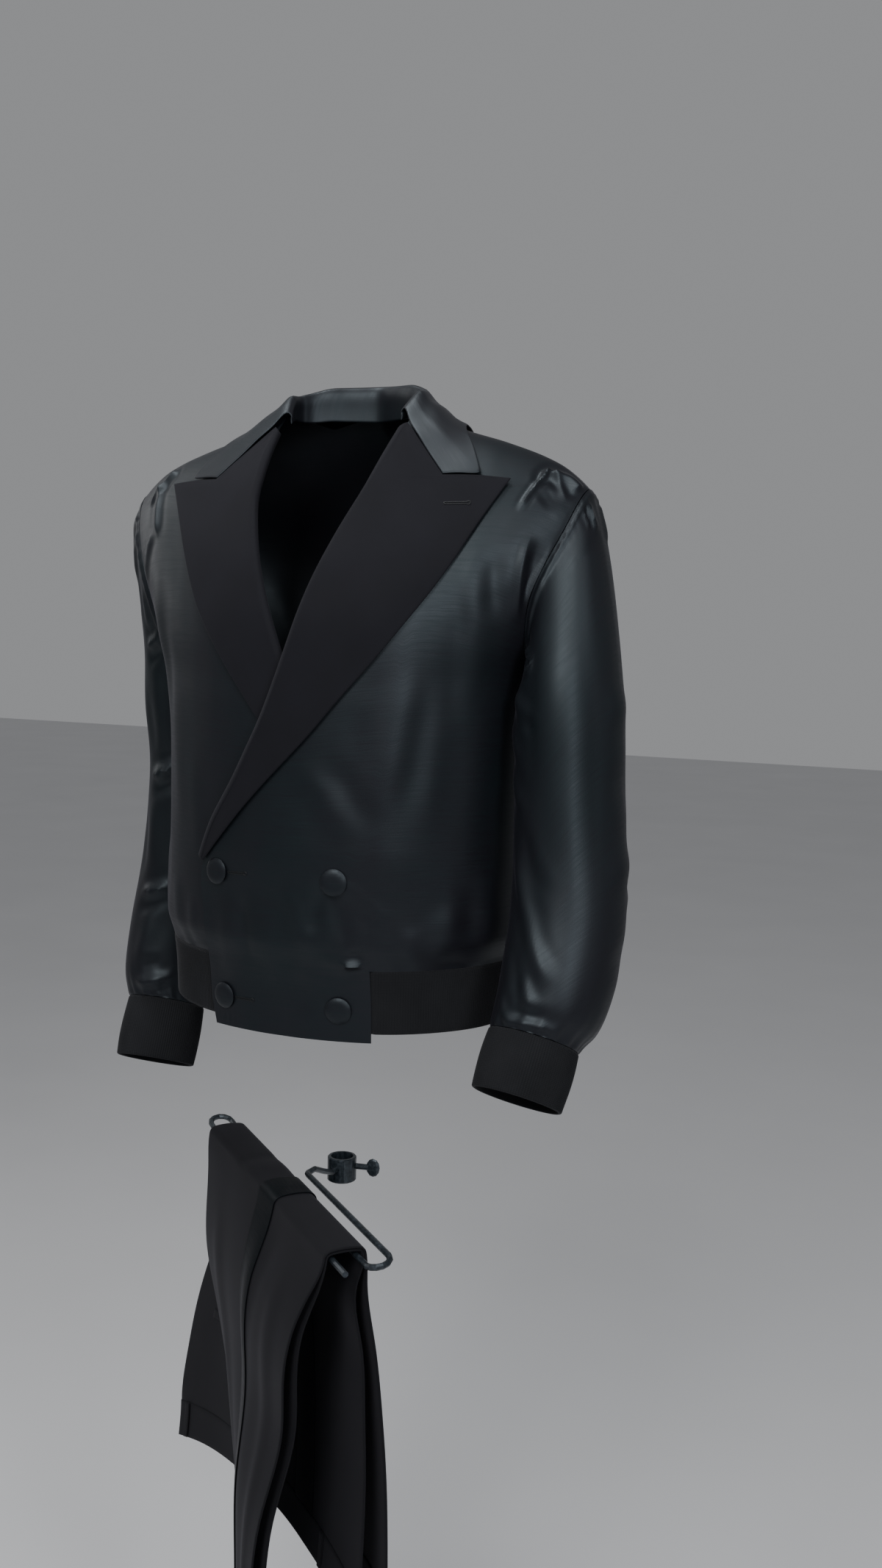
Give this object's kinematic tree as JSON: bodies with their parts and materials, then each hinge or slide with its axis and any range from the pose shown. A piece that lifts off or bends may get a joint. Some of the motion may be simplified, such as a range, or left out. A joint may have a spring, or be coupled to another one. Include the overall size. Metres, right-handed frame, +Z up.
{
  "type": "bomber jacket and trousers with a clamp-on trouser hanger",
  "caption": "Bomber-cut evening jacket with peak lapels, double-breasted front and ribbed cuffs and hem, shown as worn, with matching trousers folded over a bent-rod hanger with a clamp collar.",
  "frame": {"origin": "centre of the wearer's neck base, level with the collar seam at the shoulders; the bore of the hanger's clamp collar is centred on the same vertical line", "axes": "+Z up, the wearer faces -Y, the wearer's left is +X; the longest extent is along Z"},
  "size_m": [0.6147, 0.4039, 1.427],
  "materials": {
    "satin_cloth": "shiny woven satin, two-tone black with a petrol and purple sheen",
    "facing_cloth": "matte woven facing cloth, charcoal",
    "rib_knit": "matte fine rib knit, charcoal",
    "trouser_cloth": "matte wool suiting, black",
    "dark_steel": "satin gunmetal coating, blue-black"
  },
  "bodies": {
    "root": {"back": "satin_cloth", "front_left": "satin_cloth", "front_right": "satin_cloth", "collar": "satin_cloth", "sleeve_left": "satin_cloth", "sleeve_right": "satin_cloth", "button_upper_right": "satin_cloth", "button_upper_left": "satin_cloth", "button_lower_right": "satin_cloth", "button_lower_left": "satin_cloth", "side_stripe_left": "satin_cloth", "side_stripe_right": "satin_cloth", "lapel_left": "facing_cloth", "lapel_right": "facing_cloth", "cuff_left": "rib_knit", "cuff_right": "rib_knit", "hem_band": "rib_knit", "hanger_rod": "dark_steel", "hanger_socket": "dark_steel", "thumbscrew": "dark_steel", "trousers_left": "trouser_cloth", "trousers_right": "trouser_cloth", "waistband_left": "trouser_cloth", "waistband_right": "trouser_cloth", "pocket_welt_left": "trouser_cloth", "pocket_welt_right": "trouser_cloth", "pocket_button_left": "trouser_cloth", "pocket_button_right": "trouser_cloth", "belt_loop_left_1": "trouser_cloth", "belt_loop_left_2": "trouser_cloth", "belt_loop_left_3": "trouser_cloth", "belt_loop_right_1": "trouser_cloth", "belt_loop_right_2": "trouser_cloth", "belt_loop_right_3": "trouser_cloth"}
  },
  "joints": []
}
